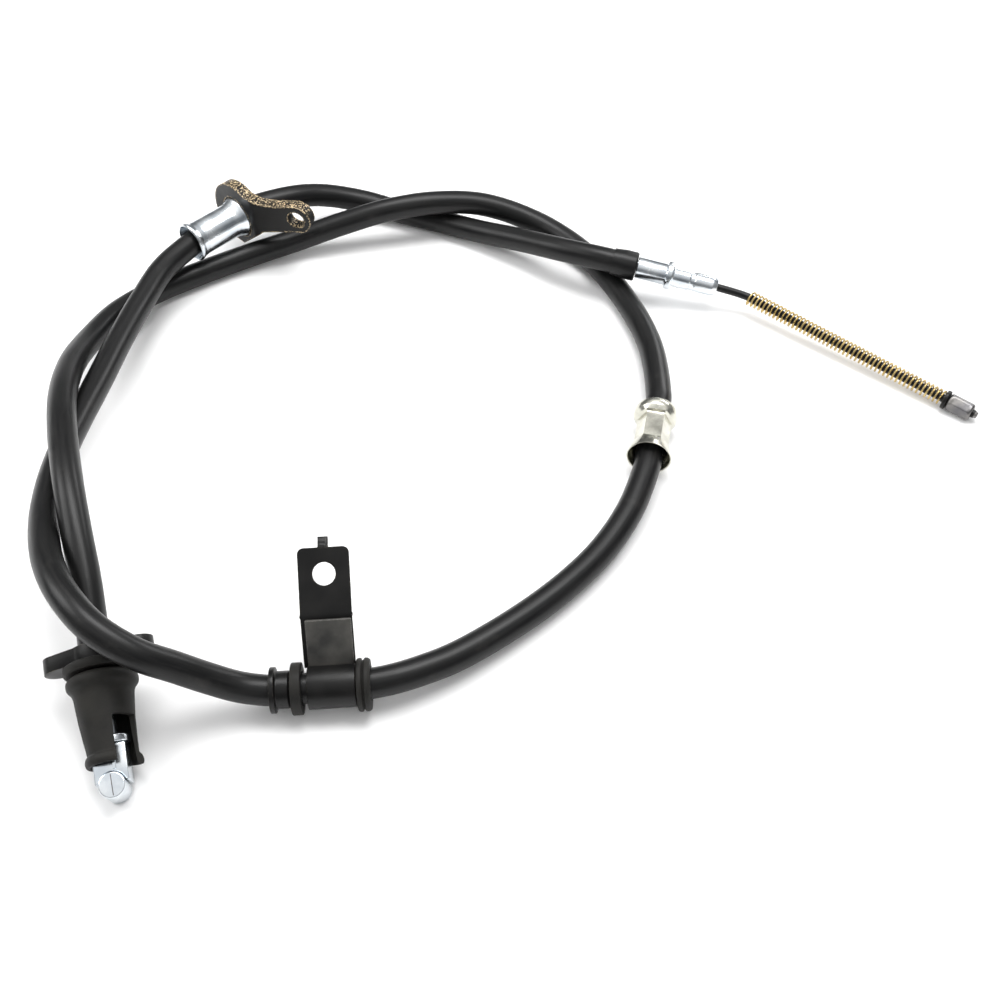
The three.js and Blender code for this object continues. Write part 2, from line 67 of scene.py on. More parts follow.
# Where the fittings stand: a point on the axis, and the way that the axis runs
BOOT = (at(-0.157, -0.115, 0.0205), Vector((0.233, -0.92, -0.3125)).normalized())
FERRULE = (at(0.0487, 0.0214, 0.0094), Vector((-6.6, -32.3, 0)).normalized())
BRACKET = (at(-0.098, -0.119, 0.0097), Vector((33.7, 2.5, 0)).normalized())
SLEEVE = (at(-0.1615, 0.1145, 0.0205), Vector((0.695, 0.719, 0)).normalized())
TIP = (at(0.0436, 0.1015, 0.0173), Vector((37.9, -8.3, -5.4)).normalized())
SPRING = (at(0.0955, 0.0893, 0.0095), Vector((77.6, -60.8, -4.9)).normalized())


LEVER = (BOOT[0] + Vector((0.0012, 0, 0)), BOOT[1])


def on(station, distance):
    return station[0] + station[1] * distance


def frame_of(station):
    z = station[1]
    x = UP.cross(z).normalized()
    y = z.cross(x)
    m = Matrix((x, y, z)).transposed().to_4x4()
    m.translation = station[0]
    return m


# Casing route: the same points as in the part's source
def straight(station, start, end, lead):
    return [on(station, s) for s in (start - lead, start, end, end + lead)]


LOWER_LOOP = [
    (-0.164, -0.087, 0.032), (-0.169, -0.071, 0.0385), (-0.175, -0.052, 0.043), (-0.1835, -0.025, 0.042),
    (-0.1905, 0, 0.0365), (-0.195, 0.027, 0.0275), (-0.195, 0.052, 0.018), (-0.189, 0.077, 0.0115),
    (-0.177, 0.096, 0.0072), (-0.159, 0.1105, 0.006), (-0.138, 0.123, 0.0062), (-0.116, 0.132, 0.0085),
    (-0.095, 0.138, 0.013), (-0.073, 0.143, 0.0174), (-0.05, 0.148, 0.0182), (-0.026, 0.151, 0.015),
    (0, 0.1445, 0.009), (0.023, 0.124, 0.006), (0.0395, 0.092, 0.006), (0.0486, 0.06, 0.0068),
]
FRONT_RUN = [
    (0.0335, -0.035, 0.0078), (0.0215, -0.0545, 0.0064), (0.007, -0.071, 0.0061), (-0.011, -0.087, 0.0063),
    (-0.033, -0.1032, 0.0075), (-0.045, -0.1098, 0.0087), (-0.056, -0.1143, 0.0095),
]
LEFT_RISE = [
    (-0.108, -0.1194, 0.0125), (-0.118, -0.1198, 0.019), (-0.128, -0.1208, 0.028), (-0.139, -0.1214, 0.037),
    (-0.152, -0.116, 0.0435), (-0.164, -0.104, 0.045), (-0.174, -0.088, 0.042), (-0.182, -0.067, 0.0365),
    (-0.1865, -0.044, 0.0315), (-0.1875, -0.022, 0.028), (-0.1865, -0.004, 0.0257), (-0.184, 0.021, 0.023),
    (-0.181, 0.048, 0.0213), (-0.1765, 0.074, 0.0205), (-0.1705, 0.097, 0.0205),
]
BACK_RUN = [
    (-0.118, 0.152, 0.0188), (-0.105, 0.1585, 0.015), (-0.087, 0.1615, 0.0095), (-0.067, 0.157, 0.0062),
    (-0.047, 0.1495, 0.006), (-0.028, 0.14, 0.0074), (-0.008, 0.1275, 0.012), (0.011, 0.114, 0.017),
]
ROUTE = (
    [on(BOOT, -0.0058), on(BOOT, -0.0148)]
    + [at(*p) for p in LOWER_LOOP]
    + straight(FERRULE, 0, 0.033, 0.003)
    + [at(*p) for p in FRONT_RUN]
    + straight(BRACKET, 0.003, 0.029, 0.003)[::-1]
    + [at(*p) for p in LEFT_RISE]
    + straight(SLEEVE, 0.009, 0.036, 0.003)
    + [at(*p) for p in BACK_RUN]
    + [on(TIP, -0.013), on(TIP, -0.010), on(TIP, 0.0008)]
)


def smooth_line(points, spacing):
    """Centripetal Catmull-Rom through the points, sampled at about that spacing."""
    padded = [points[0] * 2 - points[1], *points, points[-1] * 2 - points[-2]]
    out = [points[0].copy()]
    for i in range(1, len(padded) - 2):
        a, b, c, d = padded[i - 1 : i + 3]
        ab, bc, cd = sqrt((b - a).length), sqrt((c - b).length), sqrt((d - c).length)
        m1 = ((b - a) / ab - (c - a) / (ab + bc) + (c - b) / bc) * bc
        m2 = ((c - b) / bc - (d - b) / (bc + cd) + (d - c) / cd) * bc
        c2 = (c - b) * 3 - m1 * 2 - m2
        c3 = (b - c) * 2 + m1 + m2
        n = max(1, ceil((c - b).length / spacing))
        for k in range(1, n + 1):
            t = k / n
            out.append(b + m1 * t + c2 * t * t + c3 * t * t * t)
    return out


# Meshes
def new_object(name, verts, faces, material, smooth_angle=35, uvs=None):
    mesh = bpy.data.meshes.new(name)
    mesh.from_pydata([tuple(v) for v in verts], [], faces)
    if uvs:
        layer = mesh.uv_layers.new(name="UVMap")
        for loop in mesh.loops:
            layer.data[loop.index].uv = uvs[loop.vertex_index]
    mesh.materials.append(material)
    mesh.shade_smooth()
    mesh.set_sharp_from_angle(angle=radians(smooth_angle))
    obj = bpy.data.objects.new(name, mesh)
    bpy.context.collection.objects.link(obj)
    return obj


def settle(obj, body, nodes):
    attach(obj, body)
    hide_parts(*nodes)
    return obj


def tube(name, line, radius, sides, material):
    """Round tube with closed ends along a line of points; UV is turn and length."""
    verts, faces, uvs = [], [], []
    tangent = (line[1] - line[0]).normalized()
    normal = tangent.orthogonal().normalized()
    length = 0.0
    for i, p in enumerate(line):
        if i:
            length += (p - line[i - 1]).length
        ahead = (line[min(i + 1, len(line) - 1)] - line[max(i - 1, 0)]).normalized()
        normal = (normal - ahead * normal.dot(ahead)).normalized()
        side = ahead.cross(normal)
        for k in range(sides):
            a = 2 * pi * k / sides
            verts.append(p + (normal * cos(a) + side * sin(a)) * radius)
            uvs.append((k / sides, length))
    n = len(line)
    for i in range(n - 1):
        for k in range(sides):
            q = (k + 1) % sides
            faces.append((i * sides + k, i * sides + q, (i + 1) * sides + q, (i + 1) * sides + k))
    faces.append(tuple(reversed(range(sides))))
    faces.append(tuple((n - 1) * sides + k for k in range(sides)))
    return new_object(name, verts, faces, material, 60, uvs)


def fillet(profile, radius, closed=True, steps=3):
    """Rounded corners on a profile of (radius, height) points."""
    out = []
    n = len(profile)
    for i, p in enumerate(profile):
        p = Vector(p)
        if not closed and i in (0, n - 1):
            out.append(p)
            continue
        a, b = Vector(profile[i - 1]), Vector(profile[(i + 1) % n])
        la, lb = (a - p).length, (b - p).length
        r = min(radius, la * 0.45, lb * 0.45)
        if r < 1e-6 or p.x < 1e-6:
            out.append(p)
            continue
        start, end = p + (a - p) * (r / la), p + (b - p) * (r / lb)
        for k in range(steps + 1):
            t = k / steps
            out.append(start * (1 - t) ** 2 + p * 2 * t * (1 - t) + end * t * t)
    return out


def lathe(name, station, profile, material, sides=72, shape=None, smooth_angle=35, turn=(0, 2 * pi)):
    """Closed profile turned round the station's axis; shape may move a point: (angle, r, h) to (r, h)."""
    m = frame_of(station)
    whole = abs(turn[1] - turn[0] - 2 * pi) < 1e-6
    count = sides if whole else sides + 1
    verts, faces, uvs = [], [], []
    n = len(profile)
    for k in range(count):
        a = turn[0] + (turn[1] - turn[0]) * k / sides
        for r, h in profile:
            if shape:
                r, h = shape(a, r, h)
            verts.append(m @ Vector((r * cos(a), r * sin(a), h)))
            uvs.append((a / (2 * pi), h))
    for k in range(sides):
        q = (k + 1) % count
        for i in range(n):
            j = (i + 1) % n
            on_axis = profile[i][0] < 1e-9 and profile[j][0] < 1e-9
            if not on_axis:
                faces.append((k * n + i, q * n + i, q * n + j, k * n + j))
    if not whole:
        faces.append(tuple(reversed(range(n))))
        faces.append(tuple((count - 1) * n + i for i in range(n)))
    return new_object(name, verts, faces, material, smooth_angle, uvs)


def ring(outside, bore, soft=0.0003):
    low, high = outside[0][1], outside[-1][1]
    return fillet([(bore, low), *outside, (bore, high)], soft)


def arc(x, y, r, start, end, count):
    angles = [radians(start + (end - start) * i / count) for i in range(count + 1)]
    return [(x + r * cos(a), y + r * sin(a)) for a in angles]


def sheet_piece(name, outline, holes, place, thickness, material, step=0.0012, edge=0.0004, angle=35):
    """Flat outline with holes, given thickness, its corners rounded, and laid by place(u, w, depth)."""
    verts = [Vector(p) for p in outline]
    edges = [(i, (i + 1) % len(outline)) for i in range(len(outline))]
    for hole in holes:
        base = len(verts)
        verts += [Vector(p) for p in hole]
        edges += [(base + i, base + (i + 1) % len(hole)) for i in range(len(hole))]
    lo = Vector((min(p[0] for p in outline), min(p[1] for p in outline)))
    hi = Vector((max(p[0] for p in outline), max(p[1] for p in outline)))

    def inside(p, ring_points):
        hit = False
        for (x1, y1), (x2, y2) in zip(ring_points, ring_points[1:] + ring_points[:1]):
            if (y1 > p.y) != (y2 > p.y) and p.x < (x2 - x1) * (p.y - y1) / (y2 - y1) + x1:
                hit = not hit
        return hit

    def far(p):
        return all((p - Vector(q)).length > step * 0.6 for loop in [outline, *holes] for q in loop)

    for i in range(int((hi.x - lo.x) / step)):
        for j in range(int((hi.y - lo.y) / step)):
            p = lo + Vector(((i + 0.5) * step, (j + 0.5) * step))
            if inside(p, outline) and not any(inside(p, h) for h in holes) and far(p):
                verts.append(p)
    flat, _, tris, *_ = delaunay_2d_cdt(verts, edges, [], 0, 1e-7)
    keep = []
    for t in tris:
        c = sum((flat[i] for i in t), Vector((0, 0))) / 3
        if inside(c, outline) and not any(inside(c, h) for h in holes):
            keep.append(tuple(t))
    uses = {}
    for t in keep:
        for i in range(3):
            e = (t[i], t[(i + 1) % 3])
            uses[e] = uses.get(e, 0) + 1
    rim = [e for e in uses if (e[1], e[0]) not in uses]
    count = len(flat)
    points = [place(p.x, p.y, 0.0) for p in flat] + [place(p.x, p.y, thickness) for p in flat]
    faces = [tuple(reversed(t)) for t in keep] + [tuple(i + count for i in t) for t in keep]
    faces += [(a, b, b + count, a + count) for a, b in rim]
    obj = new_object(name, points, faces, material, angle)
    return softened(obj, edge)


def softened(obj, width):
    """Rounded edges, made plain."""
    bevel = obj.modifiers.new("edge", "BEVEL")
    bevel.width = width
    bevel.segments = 3
    bevel.limit_method = "ANGLE"
    bevel.angle_limit = radians(40)
    bevel.use_clamp_overlap = True
    return plain(obj)


def plain(obj):
    """Modifiers worked out into the mesh and removed."""
    bpy.context.view_layer.update()
    made = bpy.data.meshes.new_from_object(obj.evaluated_get(bpy.context.evaluated_depsgraph_get()))
    made.name = obj.name
    obj.modifiers.clear()
    obj.data = made
    obj.data.shade_smooth()
    obj.data.set_sharp_from_angle(angle=radians(38))
    return obj


def join_meshes(name, objects):
    """One object from several, kept apart inside the mesh."""
    verts, faces, mats, slots = [], [], [], []
    for o in objects:
        base = len(verts)
        verts += [o.matrix_world @ v.co for v in o.data.vertices]
        for m in o.data.materials:
            if m not in mats:
                mats.append(m)
        for p in o.data.polygons:
            faces.append(tuple(base + i for i in p.vertices))
            slots.append(mats.index(o.data.materials[p.material_index]))
    mesh = bpy.data.meshes.new(name)
    mesh.from_pydata([tuple(v) for v in verts], [], faces)
    for m in mats:
        mesh.materials.append(m)
    for p, s in zip(mesh.polygons, slots):
        p.material_index = s
    mesh.shade_smooth()
    mesh.set_sharp_from_angle(angle=radians(38))
    for o in objects:
        bpy.data.objects.remove(o)
    obj = bpy.data.objects.new(name, mesh)
    bpy.context.collection.objects.link(obj)
    return obj


# Shared shader effects
def group(name, inputs, outputs):
    tree = bpy.data.node_groups.new(name, "ShaderNodeTree")
    for label, value in inputs:
        socket = tree.interface.new_socket(label, in_out="INPUT", socket_type="NodeSocketFloat")
        socket.default_value = value
    for label, kind in outputs:
        tree.interface.new_socket(label, in_out="OUTPUT", socket_type=kind)
    return tree, tree.nodes.new("NodeGroupInput"), tree.nodes.new("NodeGroupOutput")


def node(tree, kind, **values):
    made = tree.nodes.new(kind)
    for key, value in values.items():
        setattr(made, key, value)
    return made


def grain_group():
    """Fine moulded or cast grain: a bump normal and a mottle mask."""
    tree, enter, leave = group(
        "grain",
        [("Scale", 900.0), ("Depth", 0.3), ("Distance", 0.0002)],
        [("Normal", "NodeSocketVector"), ("Mottle", "NodeSocketFloat")],
    )
    link = tree.links.new
    where = node(tree, "ShaderNodeTexCoord")
    fine = node(tree, "ShaderNodeTexNoise")
    fine.inputs["Detail"].default_value = 4
    link(where.outputs["Object"], fine.inputs["Vector"])
    link(enter.outputs["Scale"], fine.inputs["Scale"])
    bump = node(tree, "ShaderNodeBump")
    link(enter.outputs["Depth"], bump.inputs["Strength"])
    link(enter.outputs["Distance"], bump.inputs["Distance"])
    link(fine.outputs["Fac"], bump.inputs["Height"])
    broad = node(tree, "ShaderNodeTexNoise")
    broad.inputs["Scale"].default_value = 120
    broad.inputs["Detail"].default_value = 5
    link(where.outputs["Object"], broad.inputs["Vector"])
    link(bump.outputs["Normal"], leave.inputs["Normal"])
    link(broad.outputs["Fac"], leave.inputs["Mottle"])
    return tree


def edge_group():
    """Mask of worn edges, broken up by noise."""
    tree, enter, leave = group(
        "worn_edge",
        [("Radius", 0.0006), ("Break", 900.0), ("Amount", 0.5)],
        [("Mask", "NodeSocketFloat")],
    )
    link = tree.links.new
    geometry = node(tree, "ShaderNodeNewGeometry")
    bevel = node(tree, "ShaderNodeBevel", samples=4)
    link(enter.outputs["Radius"], bevel.inputs["Radius"])
    dot = node(tree, "ShaderNodeVectorMath", operation="DOT_PRODUCT")
    link(bevel.outputs["Normal"], dot.inputs[0])
    link(geometry.outputs["Normal"], dot.inputs[1])
    where = node(tree, "ShaderNodeTexCoord")
    noise = node(tree, "ShaderNodeTexNoise")
    noise.inputs["Detail"].default_value = 6
    link(where.outputs["Object"], noise.inputs["Vector"])
    link(enter.outputs["Break"], noise.inputs["Scale"])
    turned = node(tree, "ShaderNodeMath", operation="SUBTRACT")
    turned.inputs[0].default_value = 1.0
    link(dot.outputs["Value"], turned.inputs[1])
    sharp = node(tree, "ShaderNodeMath", operation="MULTIPLY", use_clamp=True)
    sharp.inputs[1].default_value = 14.0
    link(turned.outputs[0], sharp.inputs[0])
    mix = node(tree, "ShaderNodeMath", operation="MULTIPLY")
    link(sharp.outputs[0], mix.inputs[0])
    link(noise.outputs["Fac"], mix.inputs[1])
    clip = node(tree, "ShaderNodeMapRange")
    clip.inputs["From Min"].default_value = 0.46
    clip.inputs["From Max"].default_value = 0.62
    link(mix.outputs[0], clip.inputs["Value"])
    last = node(tree, "ShaderNodeMath", operation="MULTIPLY")
    link(clip.outputs["Result"], last.inputs[0])
    link(enter.outputs["Amount"], last.inputs[1])
    link(last.outputs[0], leave.inputs["Mask"])
    return tree


def streak_group():
    """Long faint streaks that run along a tube's UV: on the jacket they are painted highlight streaks in the
    colour, and they vary the roughness.
    """
    tree, enter, leave = group(
        "streak",
        [("Turns", 26.0), ("Run", 60.0)],
        [("Mask", "NodeSocketFloat")],
    )
    link = tree.links.new
    where = node(tree, "ShaderNodeTexCoord")
    parts = node(tree, "ShaderNodeSeparateXYZ")
    link(where.outputs["UV"], parts.inputs[0])
    across = node(tree, "ShaderNodeMath", operation="MULTIPLY")
    link(parts.outputs["X"], across.inputs[0])
    link(enter.outputs["Turns"], across.inputs[1])
    along = node(tree, "ShaderNodeMath", operation="MULTIPLY")
    link(parts.outputs["Y"], along.inputs[0])
    link(enter.outputs["Run"], along.inputs[1])
    both = node(tree, "ShaderNodeCombineXYZ")
    link(across.outputs[0], both.inputs["X"])
    link(along.outputs[0], both.inputs["Y"])
    noise = node(tree, "ShaderNodeTexNoise")
    noise.inputs["Scale"].default_value = 1
    noise.inputs["Detail"].default_value = 5
    noise.inputs["Roughness"].default_value = 0.65
    link(both.outputs[0], noise.inputs["Vector"])
    link(noise.outputs["Fac"], leave.inputs["Mask"])
    return tree


GRAIN = grain_group()
EDGE = edge_group()
STREAK = streak_group()


def use(tree, shared, **values):
    made = node(tree, "ShaderNodeGroup")
    made.node_tree = shared
    for label, value in values.items():
        made.inputs[label].default_value = value
    return made


def ramp(tree, value, low, high, out_low, out_high):
    made = node(tree, "ShaderNodeMapRange")
    for label, number in zip(("From Min", "From Max", "To Min", "To Max"), (low, high, out_low, out_high)):
        made.inputs[label].default_value = number
    tree.links.new(value, made.inputs["Value"])
    return made.outputs["Result"]


def colour_mix(tree, factor, first, second):
    made = node(tree, "ShaderNodeMix", data_type="RGBA")
    tree.links.new(factor, made.inputs["Factor"])
    for socket, value in ((made.inputs[6], first), (made.inputs[7], second)):
        if isinstance(value, tuple):
            socket.default_value = (*value, 1)
        else:
            tree.links.new(value, socket)
    return made.outputs[2]


def material(name, metallic=0.0, roughness=0.5, specular=0.5):
    made = bpy.data.materials.new(name)
    made.use_nodes = True
    tree = made.node_tree
    shader = tree.nodes["Principled BSDF"]
    shader.inputs["Metallic"].default_value = metallic
    shader.inputs["Roughness"].default_value = roughness
    shader.inputs["Specular IOR Level"].default_value = specular
    return made, tree, shader


def jacket_material():
    made, tree, shader = material("jacket", roughness=0.36, specular=0.27)
    grain = use(tree, GRAIN, Scale=2600, Depth=0.22, Distance=0.00006)
    streak = use(tree, STREAK, Turns=30, Run=55)
    # Lighter streaks along the jacket: painted highlight streaks in the base colour; the same mask varies the
    # roughness.
    highlight_streaks = ramp(tree, streak.outputs["Mask"], 0.35, 0.75, 0, 1)
    base = colour_mix(tree, highlight_streaks, (0.0045, 0.0046, 0.005), (0.011, 0.0108, 0.0104))
    dusty = ramp(tree, grain.outputs["Mottle"], 0.62, 0.8, 0, 0.35)
    dust = colour_mix(tree, dusty, base, (0.035, 0.033, 0.03))
    tree.links.new(dust, shader.inputs["Base Color"])
    sheen = ramp(tree, streak.outputs["Mask"], 0.3, 0.75, 0.28, 0.44)
    tree.links.new(sheen, shader.inputs["Roughness"])
    tree.links.new(grain.outputs["Normal"], shader.inputs["Normal"])
    return made


def rubber_material():
    made, tree, shader = material("rubber", roughness=0.62, specular=0.22)
    grain = use(tree, GRAIN, Scale=2200, Depth=0.5, Distance=0.0001)
    mottle = ramp(tree, grain.outputs["Mottle"], 0.3, 0.7, 0, 1)
    base = colour_mix(tree, mottle, (0.009, 0.0088, 0.008), (0.02, 0.019, 0.0165))
    tree.links.new(base, shader.inputs["Base Color"])
    sheen = ramp(tree, grain.outputs["Mottle"], 0.3, 0.7, 0.5, 0.72)
    tree.links.new(sheen, shader.inputs["Roughness"])
    tree.links.new(grain.outputs["Normal"], shader.inputs["Normal"])
    return made


BROWN_STEEL = (0.42, 0.36, 0.27)


def black_steel_material(name, rough, amount, low, high, worn=BROWN_STEEL, specular=0.25, radius=0.0005):
    made, tree, shader = material(name, roughness=rough, specular=specular)
    grain = use(tree, GRAIN, Scale=1800, Depth=0.3, Distance=0.00008)
    edge = use(tree, EDGE, Radius=radius, Break=1400, Amount=amount)
    base = colour_mix(tree, ramp(tree, grain.outputs["Mottle"], 0.3, 0.72, 0, 1), low, high)
    colour = colour_mix(tree, edge.outputs["Mask"], base, worn)
    tree.links.new(colour, shader.inputs["Base Color"])
    sheen = ramp(tree, grain.outputs["Mottle"], 0.3, 0.7, rough - 0.06, rough + 0.1)
    tree.links.new(sheen, shader.inputs["Roughness"])
    tree.links.new(grain.outputs["Normal"], shader.inputs["Normal"])
    return made


def torn_plate_painted_highlight_material():
    """Black blanked plate: its edges show bright torn metal, and bright specks are painted only on the faces
    that point up, as painted highlight from the light above.
    """
    bright = (0.85, 0.66, 0.4)
    made = black_steel_material(
        "black_plate", 0.42, 1.0, (0.0025, 0.0024, 0.0023), (0.006, 0.0055, 0.005), bright, radius=0.0013
    )
    tree = made.node_tree
    shader = tree.nodes["Principled BSDF"]
    colour = shader.inputs["Base Color"].links[0].from_socket
    parts = node(tree, "ShaderNodeSeparateXYZ")
    tree.links.new(node(tree, "ShaderNodeNewGeometry").outputs["Normal"], parts.inputs[0])
    specks = node(tree, "ShaderNodeTexNoise")
    specks.inputs["Scale"].default_value = 1300
    tree.links.new(node(tree, "ShaderNodeTexCoord").outputs["Object"], specks.inputs["Vector"])
    both = node(tree, "ShaderNodeMath", operation="MULTIPLY")
    # Specks only where the normal points up: painted highlight from the overhead light.
    tree.links.new(ramp(tree, parts.outputs["Z"], 0.4, 0.75, 0, 1), both.inputs[0])
    tree.links.new(ramp(tree, specks.outputs["Fac"], 0.53, 0.63, 0, 0.85), both.inputs[1])
    tree.links.new(colour_mix(tree, both.outputs[0], colour, bright), shader.inputs["Base Color"])
    return made


def metal_material(name, low, high, rough, bump=0.15, scale=900):
    made, tree, shader = material(name, metallic=1.0, roughness=rough)
    grain = use(tree, GRAIN, Scale=scale, Depth=bump, Distance=0.0001)
    colour = colour_mix(tree, ramp(tree, grain.outputs["Mottle"], 0.32, 0.7, 0, 1), low, high)
    tree.links.new(colour, shader.inputs["Base Color"])
    sheen = ramp(tree, grain.outputs["Mottle"], 0.3, 0.7, rough - 0.05, rough + 0.09)
    tree.links.new(sheen, shader.inputs["Roughness"])
    tree.links.new(grain.outputs["Normal"], shader.inputs["Normal"])
    return made


JACKET = jacket_material()
RUBBER = rubber_material()
PLATE_BLACK = torn_plate_painted_highlight_material()
STRAP_BLACK = black_steel_material("black_strap", 0.34, 0.35, (0.003, 0.003, 0.003), (0.0075, 0.0072, 0.0068))
# The leaf is black-painted steel like the strap; its lighter grey base colour is painted reflection of the
# overhead light.
LEAF_PAINTED_LIT = black_steel_material(
    "leaf_painted_lit_grey", 0.4, 0.7, (0.026, 0.0255, 0.024), (0.075, 0.072, 0.064), (0.5, 0.5, 0.46), specular=0.5
)
ZINC = metal_material("bright_zinc", (0.6, 0.65, 0.7), (0.84, 0.87, 0.89), 0.2)
ZINC_WARM = metal_material("warm_zinc", (0.48, 0.47, 0.41), (0.8, 0.79, 0.7), 0.22)
GOLD = metal_material("yellow_zinc", (0.42, 0.3, 0.11), (0.66, 0.5, 0.22), 0.28)
STEEL = metal_material("gunmetal", (0.1, 0.1, 0.11), (0.24, 0.23, 0.22), 0.34)
CORE_BLACK = black_steel_material(
    "coated_core", 0.34, 0.1, (0.002, 0.002, 0.002), (0.006, 0.006, 0.006), specular=0.3
)

# Casing
line = smooth_line(ROUTE, 0.0022)
casing = tube("casing", line, CASING_R, 24, JACKET)
settle(casing, "base", ["casing"])
CASING_LENGTH = sum((b - a).length for a, b in zip(line, line[1:]))
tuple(line[0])


# Middle ferrule: bulged mouths, a waist crimped into flats
def mid_ferrule():
    mouth, waist, flat = 0.0092, 0.0071, 0.0062
    low, high = 0.0045, 0.0316
    outside = [
        (0.0074, low), (0.0087, low + 0.0007), (mouth, low + 0.0026), (0.0091, low + 0.0044),
        (0.0081, low + 0.0066), (waist + 0.0002, low + 0.0088), (waist, low + 0.0105),
        (waist, high - 0.0095), (waist + 0.0001, high - 0.0076), (0.0078, high - 0.0052),
        (0.0086, high - 0.0028), (mouth - 0.0001, high - 0.0008), (mouth + 0.0001, high),
    ]
    inside = [(0.0086, high), (0.0082, high - 0.0026), (GRIP_R, high - 0.0075), (GRIP_R, low)]

    def crimp(a, r, h):
        """Six jaws leave six flats, one of them on top, that run out into the bulges."""
        if r < flat:
            return r, h
        off = (a - pi / 2 + pi / 6) % (pi / 3) - pi / 6
        reach = max(0, abs(h - (low + high) / 2) - 0.0068)
        return min(r, flat / cos(off) + reach * 2.6), h

    profile = fillet([*outside, *inside], 0.0004)
    settle(lathe("mid_ferrule", FERRULE, profile, ZINC_WARM, 120, crimp, 22), "base", ["mid_ferrule"])


# Sleeve with one bulged mouth, a spigot through the plate and a rim behind it
def sleeve():
    back = 0.027 + 0.0003 + 0.0055
    outside = [
        (0.0085, 0), (0.0092, 0.0006), (0.0091, 0.0014), (0.0085, 0.0028), (0.0081, 0.0052), (0.008, 0.008),
        (0.008, 0.0215), (0.0082, 0.0236), (0.0088, 0.0254), (0.0095, 0.0268), (0.0096, 0.0278),
        (0.0096, back + 0.0003), (0.0117, back + 0.0003), (0.0117, back + 0.0017),
    ]
    inside = [(GRIP_R, back + 0.0017), (GRIP_R, 0.009), (0.0079, 0.0018), (0.0083, 0)]
    profile = fillet([*outside, *inside], 0.0003)
    settle(lathe("sleeve", SLEEVE, profile, ZINC, 96, None, 30), "base", ["sleeve"])
    sleeve_plate()


# Thick blanked plate: a hub round the sleeve and an ear that turns towards the front
def sleeve_plate():
    m = frame_of(SLEEVE)
    thick, hub, bend_at = 0.0055, 0.0166, 0.0131
    bend = radians(28)
    foot = [(0.0019, -0.0143)]
    outline = (
        arc(0, 0, hub, 64, 239.5, 40)
        + foot
        + [(0.0148, -0.0034), (0.0175, -0.0012), (0.0335, 0.0024)]
        + arc(0.035, 0.0094, 0.0071, -70, 86, 14)
        + [(0.0302, 0.0158), (0.0245, 0.0146), (0.0195, 0.0142), (0.0155, 0.0145), (0.0118, 0.0152)]
    )
    holes = [arc(0, 0, 0.01, 360, 0, 48)[:-1], arc(0.035, 0.0094, 0.0041, 360, 0, 32)[:-1]]

    def place(u, w, depth):
        turn = bend * min(1.0, max(0.0, (u - bend_at + 0.003) / 0.006))
        x = u if u < bend_at else bend_at + (u - bend_at) * cos(bend)
        z = 0 if u < bend_at else (u - bend_at) * sin(bend)
        return m @ Vector((-x + depth * sin(turn), w, 0.0273 + z + depth * cos(turn)))

    made = sheet_piece("sleeve_plate", outline, holes, place, thick, PLATE_BLACK, edge=0.0006)
    settle(made, "base", ["sleeve_plate"])


